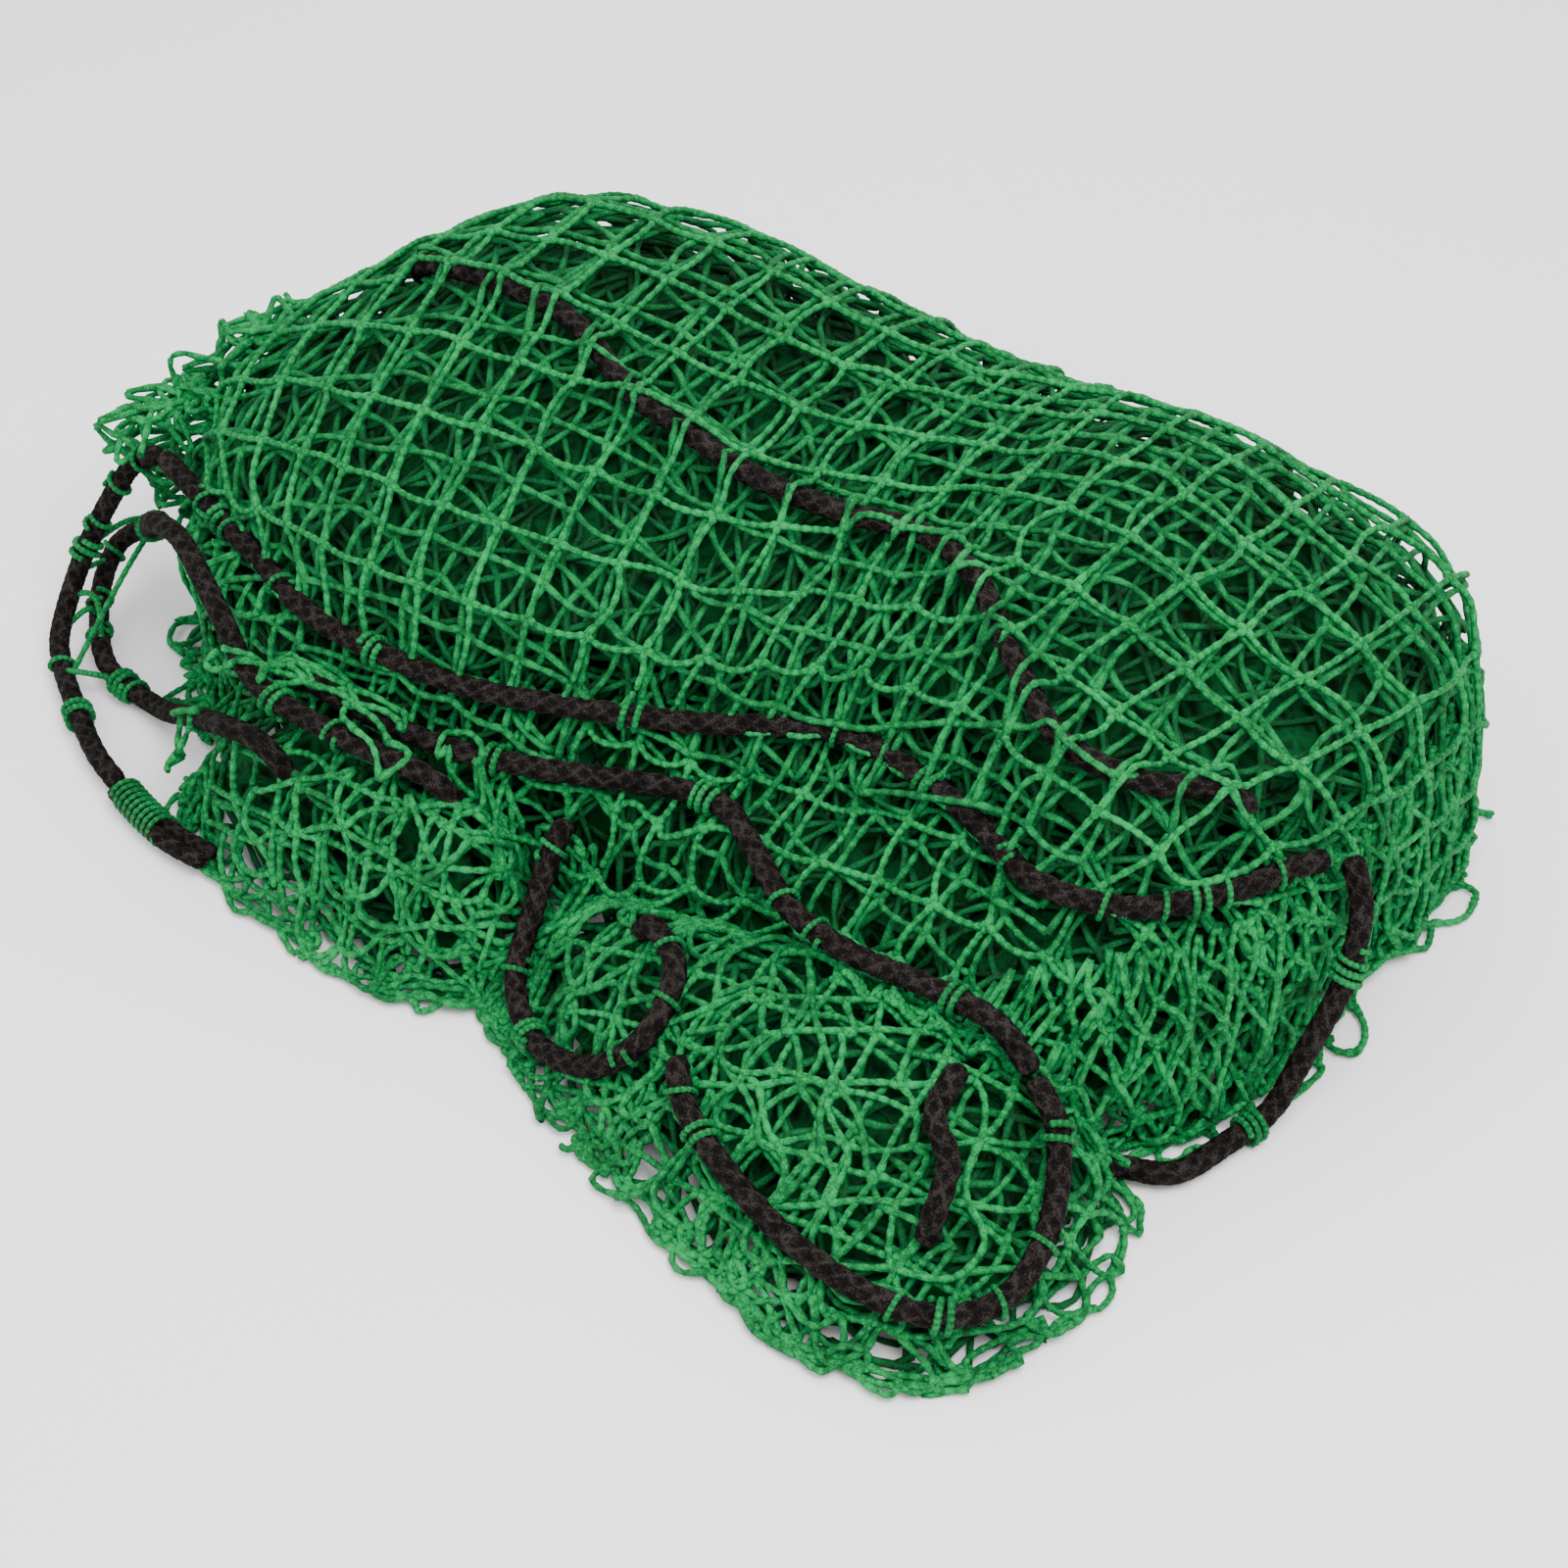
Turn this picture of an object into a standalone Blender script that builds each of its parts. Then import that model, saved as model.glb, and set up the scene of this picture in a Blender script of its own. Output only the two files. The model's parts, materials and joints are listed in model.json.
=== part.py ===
"""A folded cargo net with a black border rope, lying in a heap on the ground.

The net is one knotless panel. It is folded back and forth into flat layers, with two loose
lobes bunched up in front, and each fold is a plain closed solid here. The border rope is a
10 mm tube in the stretches that come to the surface, with turns of lacing twine round it.
The top fold opens like a book about its fold line at the back.
Metres, +Z up, -Y is the front. The origin is under the middle of the heap, on the ground.
"""
import math

import bmesh
import bpy
from mathutils import Vector

# Driving dimensions
GAP = 0.0003            # left between pieces that touch
ROPE_DIAMETER = 0.010
TWINE_DIAMETER = 0.003
LAYER_TOPS = (0.028, 0.053, 0.078, 0.100)   # upper side of each flat layer
TOP_FOLD_SPLIT = 0.118  # where the top fold's under part ends and its crown starts

# How finely the solids are drawn
LAYER_STEP = 0.034
LOBE_STEP = 0.022
ROPE_STEP = 0.026
RIM_STEPS = 4
CROWN_RINGS = (1.0, 0.93, 0.82, 0.66, 0.46, 0.24, 0.06)
CROWN_POWER = 2.4
CROWN_RIM = 0.008       # radius of the rim round the crown's underside
LOBE_RIM = 0.006
RIM_INSET = 0.3         # share of the rim left at its middle ring
SHARP_ANGLE = math.radians(50)
NET_ROUGHNESS = 0.85
ROPE_ROUGHNESS = 0.90

NET_GREEN = (0.018, 0.191, 0.058)
ROPE_BLACK = (0.026, 0.020, 0.021)
TWINE_GREEN = (0.022, 0.235, 0.075)

# Outlines of the flat layers, counter-clockwise from the front left
LAYERS = {
    "net_layer_1_bottom": (
        (-0.232, -0.052), (-0.178, -0.084), (-0.100, -0.096), (0.000, -0.094), (0.100, -0.089),
        (0.200, -0.089), (0.264, -0.080), (0.298, -0.025), (0.312, 0.080), (0.306, 0.170),
        (0.260, 0.208), (0.100, 0.214), (-0.080, 0.216), (-0.225, 0.206), (-0.272, 0.150),
        (-0.280, 0.070), (-0.264, 0.000)),
    "net_layer_2": (
        (-0.226, -0.054), (-0.172, -0.084), (-0.100, -0.094), (0.000, -0.092), (0.100, -0.087),
        (0.200, -0.087), (0.260, -0.080), (0.298, -0.024), (0.310, 0.070), (0.312, 0.160),
        (0.265, 0.210), (0.110, 0.218), (-0.090, 0.219), (-0.232, 0.210), (-0.284, 0.156),
        (-0.288, 0.070), (-0.266, 0.000)),
    "net_layer_3": (
        (-0.232, -0.052), (-0.180, -0.084), (-0.100, -0.098), (-0.014, -0.092), (0.050, -0.078),
        (0.120, -0.080), (0.200, -0.084), (0.264, -0.074), (0.300, -0.022), (0.310, 0.080),
        (0.304, 0.172), (0.258, 0.212), (0.100, 0.216), (-0.080, 0.220), (-0.228, 0.214),
        (-0.280, 0.160), (-0.288, 0.080), (-0.266, 0.000)),
    "net_layer_4": (
        (-0.240, -0.052), (-0.200, -0.074), (-0.140, -0.086), (-0.062, -0.088), (-0.010, -0.077),
        (0.045, -0.056), (0.100, -0.032), (0.142, -0.038), (0.178, -0.052), (0.214, -0.066),
        (0.256, -0.056), (0.288, -0.012), (0.308, 0.080), (0.302, 0.176), (0.254, 0.214),
        (0.100, 0.220), (-0.080, 0.222), (-0.225, 0.212), (-0.276, 0.156), (-0.284, 0.080),
        (-0.268, 0.000)),
}
TOP_FOLD_OUTLINE = (
    (-0.248, -0.010), (-0.232, -0.026), (-0.187, -0.046), (-0.130, -0.068), (-0.060, -0.070),
    (-0.014, -0.058), (0.038, -0.036), (0.094, -0.008), (0.144, -0.013), (0.176, -0.025),
    (0.210, -0.040), (0.246, -0.034), (0.268, -0.008), (0.290, 0.034), (0.302, 0.100),
    (0.294, 0.174), (0.250, 0.213), (0.100, 0.221), (-0.080, 0.221), (-0.200, 0.200),
    (-0.256, 0.130), (-0.274, 0.050))
TOP_FOLD_SPINE = ((-0.140, 0.130), (0.190, 0.125))
LEFT_LOBE_OUTLINE = (
    (-0.188, -0.107), (-0.162, -0.132), (-0.126, -0.146), (-0.070, -0.154), (-0.015, -0.152),
    (0.006, -0.130), (-0.006, -0.104), (-0.060, -0.1015), (-0.140, -0.1015))
LEFT_LOBE_SPINE = ((-0.150, -0.106), (-0.030, -0.106))
FRONT_LOBE_OUTLINE = (
    (0.012, -0.106), (0.018, -0.140), (0.050, -0.166), (0.110, -0.190), (0.170, -0.212),
    (0.222, -0.2225), (0.264, -0.210), (0.282, -0.165), (0.288, -0.120), (0.266, -0.0950),
    (0.200, -0.0945), (0.100, -0.0945))
FRONT_LOBE_SPINE = ((0.050, -0.100), (0.235, -0.100))

# Routes of the border rope's stretches, through points on its centre line
ROPES = {
    "border_rope_top_edge": (
        (-0.264, -0.028, 0.109), (-0.241, -0.037, 0.109), (-0.189, -0.058, 0.109),
        (-0.131, -0.080, 0.109), (-0.062, -0.082, 0.109), (-0.014, -0.070, 0.109),
        (0.042, -0.048, 0.109), (0.097, -0.020, 0.109), (0.144, -0.025, 0.109),
        (0.179, -0.038, 0.109), (0.212, -0.053, 0.109), (0.250, -0.046, 0.109),
        (0.278, -0.018, 0.109), (0.296, 0.012, 0.109)),
    "border_rope_under_top_ply": (
        (-0.184, 0.075, 0.191), (-0.133, 0.068, 0.201), (-0.089, 0.059, 0.201),
        (-0.048, 0.040, 0.193), (-0.016, 0.036, 0.187), (0.020, 0.035, 0.177),
        (0.061, 0.041, 0.171), (0.095, 0.048, 0.170), (0.130, 0.034, 0.171),
        (0.165, 0.006, 0.161), (0.200, -0.015, 0.150), (0.236, -0.014, 0.145),
        (0.262, 0.004, 0.140)),
    "border_rope_front_run": (
        (-0.138, -0.095, 0.087), (-0.100, -0.098, 0.087), (-0.055, -0.098, 0.087),
        (-0.010, -0.087, 0.087), (0.042, -0.067, 0.087), (0.070, -0.064, 0.087),
        (0.096, -0.080, 0.087), (0.126, -0.099, 0.085), (0.158, -0.104, 0.082),
        (0.196, -0.103, 0.082), (0.225, -0.104, 0.080), (0.247, -0.113, 0.073)),
    "border_rope_front_loop": (
        (0.2484, -0.1144, 0.0718), (0.265, -0.124, 0.060), (0.278, -0.150, 0.042),
        (0.278, -0.180, 0.029), (0.262, -0.202, 0.027), (0.232, -0.210, 0.029),
        (0.194, -0.206, 0.032), (0.158, -0.195, 0.038), (0.130, -0.181, 0.043),
        (0.118, -0.170, 0.049)),
    "border_rope_small_loop": (
        (0.008, -0.102, 0.062), (0.008, -0.118, 0.040), (0.016, -0.144, 0.020),
        (0.044, -0.166, 0.018), (0.078, -0.172, 0.030), (0.096, -0.160, 0.049),
        (0.094, -0.136, 0.064), (0.074, -0.122, 0.066)),
    "border_rope_left_loop": (
        (-0.050, -0.114, 0.084), (-0.100, -0.114, 0.084), (-0.145, -0.110, 0.088),
        (-0.181, -0.092, 0.102), (-0.222, -0.069, 0.109), (-0.252, -0.056, 0.098),
        (-0.278, -0.034, 0.070), (-0.303, -0.008, 0.045), (-0.327, -0.012, 0.026),
        (-0.318, -0.038, 0.013), (-0.283, -0.072, 0.010), (-0.240, -0.084, 0.012),
        (-0.203, -0.099, 0.034), (-0.168, -0.119, 0.062), (-0.132, -0.127, 0.073)),
    "border_rope_left_edge": (
        (-0.277, -0.022, 0.106), (-0.298, -0.022, 0.090), (-0.318, -0.038, 0.048),
        (-0.317, -0.066, 0.015), (-0.302, -0.083, 0.009), (-0.276, -0.102, 0.009),
        (-0.245, -0.122, 0.009), (-0.2210, -0.1326, 0.009)),
    "border_rope_right_side": (
        (0.311, 0.030, 0.108), (0.322, 0.020, 0.090), (0.324, 0.006, 0.062),
        (0.319, -0.010, 0.034), (0.314, -0.026, 0.011), (0.306, -0.050, 0.008),
        (0.295, -0.076, 0.008)),
    "border_rope_tucked_bight": (
        (0.224, -0.132, 0.077), (0.226, -0.152, 0.072), (0.239, -0.163, 0.064),
        (0.243, -0.179, 0.053)),
}
ROPE_SPLICE = ((-0.2192, -0.1334, 0.009), (-0.198, -0.141, 0.009), (-0.176, -0.147, 0.009))
SPLICE_DIAMETER = 0.017

# Where turns of the lacing twine show, as shares of each stretch's length
LACING = {
    "border_rope_top_edge": (0.09, 0.29, 0.51, 0.73, 0.93),
    "border_rope_front_run": (0.30, 0.55, 0.88),
    "border_rope_front_loop": (0.12, 0.45, 0.84),
    "border_rope_small_loop": (0.40,),
    "border_rope_left_loop": (0.14, 0.50, 0.74),
    "border_rope_left_edge": (0.35, 0.80),
    "border_rope_right_side": (0.30, 0.75),
}


def material(name, colour, roughness):
    """A plain finish for one piece."""
    made = bpy.data.materials.new(name)
    made.use_nodes = True
    shader = made.node_tree.nodes["Principled BSDF"]
    shader.inputs["Base Color"].default_value = (*colour, 1)
    shader.inputs["Roughness"].default_value = roughness
    shader.inputs["Metallic"].default_value = 0
    return made


def smooth_points(points, spacing, closed=False):
    """Points about spacing apart on a smooth curve through the given ones."""
    points = [Vector(p) for p in points]
    count = len(points)
    sampled = []
    for i in range(count if closed else count - 1):
        if closed:
            before, start, end, after = (points[(i + k) % count] for k in (-1, 0, 1, 2))
        else:
            before, start, end, after = (points[min(max(i + k, 0), count - 1)] for k in (-1, 0, 1, 2))
        pieces = max(1, round((end - start).length / spacing))
        for k in range(pieces):
            t = k / pieces
            sampled.append(0.5 * (2 * start + (end - before) * t
                                  + (2 * before - 5 * start + 4 * end - after) * t ** 2
                                  + (3 * start - before - 3 * end + after) * t ** 3))
    if not closed:
        sampled.append(points[-1])
    return sampled


def moved_in(outline, distance):
    """The outline moved inwards along its own normals."""
    count = len(outline)
    moved = []
    for i, point in enumerate(outline):
        along = (outline[(i + 1) % count] - outline[i - 1]).normalized()
        moved.append(point + Vector((-along.y, along.x)) * distance)
    return moved


def at_height(outline, z):
    return [Vector((p.x, p.y, z)) for p in outline]


def loft(name, rings):
    """One closed body through the rings, bottom to top, with a face over each end."""
    mesh = bpy.data.meshes.new(name)
    body = bmesh.new()
    loops = [[body.verts.new(p) for p in ring] for ring in rings]
    for low, high in zip(loops, loops[1:]):
        for i in range(len(low)):
            j = (i + 1) % len(low)
            body.faces.new((low[i], low[j], high[j], high[i]))
    body.faces.new(loops[0][::-1])
    body.faces.new(loops[-1])
    bmesh.ops.triangulate(body, faces=body.faces[:])
    body.to_mesh(mesh)
    body.free()
    mesh.shade_smooth()
    mesh.set_sharp_from_angle(angle=SHARP_ANGLE)
    made = bpy.data.objects.new(name, mesh)
    made.data.materials.append(material(name, NET_GREEN, NET_ROUGHNESS))
    bpy.context.scene.collection.objects.link(made)
    return made


def flat_layer(name, outline, bottom, top):
    """A flat fold with a half-round rim."""
    radius = (top - bottom) / 2
    outline = smooth_points(outline, LAYER_STEP, closed=True)
    rings = []
    for k in range(RIM_STEPS + 1):
        angle = math.pi * (k / RIM_STEPS - 0.5)
        ring = moved_in(outline, radius * (1 - math.cos(angle)))
        rings.append(at_height(ring, bottom + radius * (1 + math.sin(angle))))
    return loft(name, rings)


def crowned_fold(name, outline, step, bottom, rim, spine, rise):
    """A fold with a flat underside and a rounded rim, that rises over its spine."""
    outline = smooth_points(outline, step, closed=True)
    rings = [at_height(moved_in(outline, rim), bottom),
             at_height(moved_in(outline, rim * RIM_INSET), bottom + rim * RIM_INSET)]
    (x_start, y_start), (x_end, y_end) = spine
    for share in CROWN_RINGS:
        ring = []
        for point in outline:
            x = min(max(point.x, x_start), x_end)
            y = y_start + (y_end - y_start) * (x - x_start) / (x_end - x_start)
            place = Vector((x, y)).lerp(point, share)
            z = bottom + rim + rise(place.x) * (1 - share ** CROWN_POWER)
            ring.append(Vector((place.x, place.y, z)))
        rings.append(ring)
    return loft(name, rings)


def hump(x, middle, width, height):
    return height * math.exp(-((x - middle) / width) ** 2)


def top_fold_rise(x):
    """Two humps with a dip between them."""
    return 0.030 + hump(x, -0.100, 0.150, 0.043) + hump(x, 0.160, 0.060, 0.026)


def left_lobe_rise(x):
    return 0.064 + hump(x, -0.070, 0.060, 0.004)


def front_lobe_rise(x):
    return 0.030 + hump(x, 0.165, 0.120, 0.034)


def tube(name, route, diameter):
    """A round tube along the route, with flat ends."""
    curve = bpy.data.curves.new(name, "CURVE")
    curve.dimensions = "3D"
    points = smooth_points(route, ROPE_STEP)
    line = curve.splines.new("POLY")
    line.points.add(len(points) - 1)
    for made, point in zip(line.points, points):
        made.co = (*point, 1)
    curve.bevel_depth = diameter / 2
    curve.bevel_resolution = 2
    curve.use_fill_caps = True
    curve.render_resolution_u = 0
    made = bpy.data.objects.new(name, curve)
    made.data.materials.append(material(name, ROPE_BLACK, ROPE_ROUGHNESS))
    bpy.context.scene.collection.objects.link(made)
    return made


def lacing_turn(name, route, share):
    """One turn of twine round the rope, at a share of the way along its route."""
    points = smooth_points(route, ROPE_STEP)
    place = share * (len(points) - 1)
    start = min(int(place), len(points) - 2)
    along = points[start + 1] - points[start]
    bpy.ops.mesh.primitive_torus_add(
        location=points[start] + along * (place - start),
        rotation=along.to_track_quat("Z", "Y").to_euler(),
        major_radius=(ROPE_DIAMETER + TWINE_DIAMETER) / 2 + GAP, minor_radius=TWINE_DIAMETER / 2,
        major_segments=12, minor_segments=6)
    made = bpy.context.object
    made.name = made.data.name = name
    made.data.shade_smooth()
    made.data.materials.append(material(name, TWINE_GREEN, NET_ROUGHNESS))
    return made


def main():
    for old in list(bpy.data.objects):
        bpy.data.objects.remove(old, do_unlink=True)
    bottom = 0.0
    for (name, outline), top in zip(LAYERS.items(), LAYER_TOPS):
        flat_layer(name, outline, bottom, top)
        bottom = top + GAP
    flat_layer("top_fold_under", TOP_FOLD_OUTLINE, bottom, TOP_FOLD_SPLIT)
    crowned_fold("top_fold_crown", TOP_FOLD_OUTLINE, LAYER_STEP, TOP_FOLD_SPLIT + GAP,
                 CROWN_RIM, TOP_FOLD_SPINE, top_fold_rise)
    crowned_fold("left_lobe", LEFT_LOBE_OUTLINE, LOBE_STEP, 0.0, LOBE_RIM, LEFT_LOBE_SPINE,
                 left_lobe_rise)
    crowned_fold("front_lobe", FRONT_LOBE_OUTLINE, LOBE_STEP, 0.0, LOBE_RIM, FRONT_LOBE_SPINE,
                 front_lobe_rise)
    for name, route in ROPES.items():
        tube(name, route, ROPE_DIAMETER)
    tube("border_rope_splice", ROPE_SPLICE, SPLICE_DIAMETER)
    for name, shares in LACING.items():
        for number, share in enumerate(shares, start=1):
            place = name.removeprefix("border_rope_")
            lacing_turn(f"lacing_{place}_{number}", ROPES[name], share)


main()
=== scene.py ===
"""Looks of the folded cargo net: the net's plies, its border rope and lacing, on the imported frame.

The net is draped here. Each ply is a square mesh of knots joined by twines that are drawn back
towards their length, and it falls onto the shape of the CAD folds by a small position-based
simulation. The twines are then drawn as tubes. The rope follows the routes of the CAD's rope
stretches, and most ends run a little further, under the net.
"""
import json
import math

import bpy
import numpy as np
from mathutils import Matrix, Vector
from mathutils.bvhtree import BVHTree


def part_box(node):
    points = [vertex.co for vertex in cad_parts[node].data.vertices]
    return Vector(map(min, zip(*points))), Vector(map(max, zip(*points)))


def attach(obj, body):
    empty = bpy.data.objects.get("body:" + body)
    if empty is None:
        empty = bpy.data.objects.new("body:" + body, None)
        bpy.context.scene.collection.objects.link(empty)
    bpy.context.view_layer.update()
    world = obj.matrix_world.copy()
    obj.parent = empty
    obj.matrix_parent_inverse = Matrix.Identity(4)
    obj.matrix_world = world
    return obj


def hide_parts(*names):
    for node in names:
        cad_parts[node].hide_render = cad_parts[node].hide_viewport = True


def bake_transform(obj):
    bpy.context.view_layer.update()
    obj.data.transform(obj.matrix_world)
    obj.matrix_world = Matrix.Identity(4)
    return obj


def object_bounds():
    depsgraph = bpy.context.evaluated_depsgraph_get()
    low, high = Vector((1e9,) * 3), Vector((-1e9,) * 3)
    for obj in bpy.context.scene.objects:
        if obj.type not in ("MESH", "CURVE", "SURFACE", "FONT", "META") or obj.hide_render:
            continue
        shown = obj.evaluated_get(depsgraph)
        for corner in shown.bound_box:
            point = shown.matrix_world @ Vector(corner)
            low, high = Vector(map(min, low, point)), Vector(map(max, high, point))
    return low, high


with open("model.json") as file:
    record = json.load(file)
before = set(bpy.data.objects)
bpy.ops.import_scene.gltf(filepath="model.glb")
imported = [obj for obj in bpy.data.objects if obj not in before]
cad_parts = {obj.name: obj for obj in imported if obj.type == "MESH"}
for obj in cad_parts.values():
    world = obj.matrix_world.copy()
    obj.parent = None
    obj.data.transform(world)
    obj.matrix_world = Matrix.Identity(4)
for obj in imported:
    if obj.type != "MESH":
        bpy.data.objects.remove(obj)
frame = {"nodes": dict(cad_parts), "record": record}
CAD_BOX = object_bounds()

# Sizes of the net, in metres
CELL = 0.025
TWINE_RADIUS = 0.0015
LACING_RADIUS = 0.0012
ROPE_DIAMETER = 0.010
INTERFACE = 0.1002      # height at which the top fold lies on the pile
SUB = 4                 # simulated lengths in each side of a cell
SLACK = 0.94            # spacing of the top ply's knots, as a share of a cell side
FEWEST_SIDES = 8        # cell sides below which a piece isn't worth making

TOP_FOLDS = ["top_fold_under", "top_fold_crown"]
PILE_FOLDS = ["net_layer_1_bottom", "net_layer_2", "net_layer_3", "net_layer_4",
              "left_lobe", "front_lobe"]

# The twine's and the rope's tones, dark, middle and light: tone that differs at random, plus painted
# shade between stitches and a painted highlight on them
GREENS = ((0.0006, 0.045, 0.009), (0.0012, 0.138, 0.030), (0.007, 0.255, 0.064))
BLACKS = ((0.0008, 0.0006, 0.0005), (0.0050, 0.0038, 0.0034), (0.026, 0.022, 0.020))

# Routes of the rope stretches, as in the CAD source
ROPES = {
    "border_rope_top_edge": (
        (-0.264, -0.028, 0.109), (-0.241, -0.037, 0.109), (-0.189, -0.058, 0.109),
        (-0.131, -0.080, 0.109), (-0.062, -0.082, 0.109), (-0.014, -0.070, 0.109),
        (0.042, -0.048, 0.109), (0.097, -0.020, 0.109), (0.144, -0.025, 0.109),
        (0.179, -0.038, 0.109), (0.212, -0.053, 0.109), (0.250, -0.046, 0.109),
        (0.278, -0.018, 0.109), (0.296, 0.012, 0.109)),
    "border_rope_under_top_ply": (
        (-0.184, 0.075, 0.191), (-0.133, 0.068, 0.201), (-0.089, 0.059, 0.201),
        (-0.048, 0.040, 0.193), (-0.016, 0.036, 0.187), (0.020, 0.035, 0.177),
        (0.061, 0.041, 0.171), (0.095, 0.048, 0.170), (0.130, 0.034, 0.171),
        (0.165, 0.006, 0.161), (0.200, -0.015, 0.150), (0.236, -0.014, 0.145),
        (0.262, 0.004, 0.140)),
    "border_rope_front_run": (
        (-0.138, -0.095, 0.087), (-0.100, -0.098, 0.087), (-0.055, -0.098, 0.087),
        (-0.010, -0.087, 0.087), (0.042, -0.067, 0.087), (0.070, -0.064, 0.087),
        (0.096, -0.080, 0.087), (0.126, -0.099, 0.085), (0.158, -0.104, 0.082),
        (0.196, -0.103, 0.082), (0.225, -0.104, 0.080), (0.247, -0.113, 0.073)),
    "border_rope_front_loop": (
        (0.2484, -0.1144, 0.0718), (0.265, -0.124, 0.060), (0.278, -0.150, 0.042),
        (0.278, -0.180, 0.029), (0.262, -0.202, 0.027), (0.232, -0.210, 0.029),
        (0.194, -0.206, 0.032), (0.158, -0.195, 0.038), (0.130, -0.181, 0.043),
        (0.118, -0.170, 0.049)),
    "border_rope_small_loop": (
        (0.008, -0.102, 0.062), (0.008, -0.118, 0.040), (0.016, -0.144, 0.020),
        (0.044, -0.166, 0.018), (0.078, -0.172, 0.030), (0.096, -0.160, 0.049),
        (0.094, -0.136, 0.064), (0.074, -0.122, 0.066)),
    "border_rope_left_loop": (
        (-0.050, -0.114, 0.084), (-0.100, -0.114, 0.084), (-0.145, -0.110, 0.088),
        (-0.181, -0.092, 0.102), (-0.222, -0.069, 0.109), (-0.252, -0.056, 0.098),
        (-0.278, -0.034, 0.070), (-0.303, -0.008, 0.045), (-0.327, -0.012, 0.026),
        (-0.318, -0.038, 0.013), (-0.283, -0.072, 0.010), (-0.240, -0.084, 0.012),
        (-0.203, -0.099, 0.034), (-0.168, -0.119, 0.062), (-0.132, -0.127, 0.073)),
    "border_rope_left_edge": (
        (-0.277, -0.022, 0.106), (-0.298, -0.022, 0.090), (-0.318, -0.038, 0.048),
        (-0.317, -0.066, 0.015), (-0.302, -0.083, 0.009), (-0.276, -0.102, 0.009),
        (-0.245, -0.122, 0.009), (-0.2210, -0.1326, 0.009)),
    "border_rope_right_side": (
        (0.311, 0.030, 0.108), (0.322, 0.020, 0.090), (0.324, 0.006, 0.062),
        (0.319, -0.010, 0.034), (0.314, -0.026, 0.011), (0.306, -0.050, 0.008),
        (0.295, -0.076, 0.008)),
    "border_rope_tucked_bight": (
        (0.2238, -0.1295, 0.0776), (0.226, -0.152, 0.072), (0.239, -0.163, 0.064),
        (0.243, -0.179, 0.053)),
}

# Where a stretch's ends go on under the net, before its first and after its last point
TAILS = {
    "border_rope_top_edge": ((-0.270, -0.025, 0.108), (0.304, 0.022, 0.109)),
    "border_rope_under_top_ply": ((-0.196, 0.082, 0.176), (0.272, 0.014, 0.126)),
    "border_rope_front_run": ((-0.150, -0.093, 0.072), None),
    "border_rope_front_loop": (None, (0.112, -0.158, 0.038)),
    "border_rope_small_loop": ((0.006, -0.090, 0.066), (0.062, -0.116, 0.052)),
    "border_rope_left_loop": ((-0.036, -0.110, 0.070), (-0.114, -0.124, 0.052)),
    "border_rope_right_side": (None, (0.271, -0.087, 0.009)),
    "border_rope_tucked_bight": (None, (0.242, -0.184, 0.039)),
}
SPLICE = ((-0.2192, -0.1334, 0.009), (-0.198, -0.141, 0.009), (-0.176, -0.147, 0.009))
SPLICE_TAIL = (-0.152, -0.149, 0.010)
ROPE_STEP = 0.0010      # spacing of a rope's rings
ROPE_SIDES = 24         # points in each ring
ROUTE_STEP = 0.004      # spacing of a route's points where the net is tested against it


# ---- camera, light and floor

def add_object(name, data):
    made = bpy.data.objects.new(name, data)
    bpy.context.scene.collection.objects.link(made)
    return made


def look_from(target, azimuth, elevation, distance):
    """A place at distance from target, and the turn that faces it."""
    a, e = math.radians(azimuth), math.radians(elevation)
    back = Vector((math.sin(a) * math.cos(e), -math.cos(a) * math.cos(e), math.sin(e)))
    return Vector(target) + back * distance, back.to_track_quat("Z", "Y").to_euler()


def add_camera():
    data = bpy.data.cameras.new("camera")
    data.lens = 70
    camera = add_object("camera", data)
    camera.location, camera.rotation_euler = look_from(
        target=(0.070, -0.018, 0.065), azimuth=33, elevation=42, distance=1.32)
    bpy.context.scene.camera = camera


def add_area_light(name, azimuth, elevation, distance, size, power):
    data = bpy.data.lights.new(name, "AREA")
    data.size = size
    data.energy = power
    light = add_object(name, data)
    light.location, light.rotation_euler = look_from((0, 0, 0.05), azimuth, elevation, distance)


def add_studio():
    add_area_light("key_light", azimuth=60, elevation=62, distance=1.6, size=0.9, power=34)
    add_area_light("fill_light", azimuth=-40, elevation=40, distance=1.8, size=1.4, power=12)
    add_area_light("back_light", azimuth=200, elevation=50, distance=1.8, size=1.2, power=12)
    world = bpy.data.worlds.new("studio")
    world.use_nodes = True
    world.node_tree.nodes["Background"].inputs["Color"].default_value = (1, 1, 1, 1)
    world.node_tree.nodes["Background"].inputs["Strength"].default_value = 1.25
    bpy.context.scene.world = world
    bpy.ops.mesh.primitive_plane_add(size=12, location=(0, 0, 0))
    floor = bpy.context.object
    floor.name = "studio_floor"
    pale = plain_material("studio_floor", colour=(0.93, 0.93, 0.93), roughness=0.9)
    floor.data.materials.append(pale)


# ---- materials

def plain_material(name, colour, roughness):
    made = bpy.data.materials.new(name)
    made.use_nodes = True
    shader = made.node_tree.nodes["Principled BSDF"]
    shader.inputs["Base Color"].default_value = (*colour, 1)
    shader.inputs["Roughness"].default_value = roughness
    return made


def noise(tree, place, size, detail, roughness=0.5):
    """Noise with patches of about size."""
    made = tree.nodes.new("ShaderNodeTexNoise")
    made.inputs["Scale"].default_value = 1 / size
    made.inputs["Detail"].default_value = detail
    made.inputs["Roughness"].default_value = roughness
    tree.links.new(place, made.inputs["Vector"])
    return made.outputs["Fac"]


def scaled_sum(tree, first, factor, second):
    """first times factor, plus second."""
    made = tree.nodes.new("ShaderNodeMath")
    made.operation = "MULTIPLY_ADD"
    made.inputs[1].default_value = factor
    tree.links.new(first, made.inputs[0])
    tree.links.new(second, made.inputs[2])
    return made.outputs[0]


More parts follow.
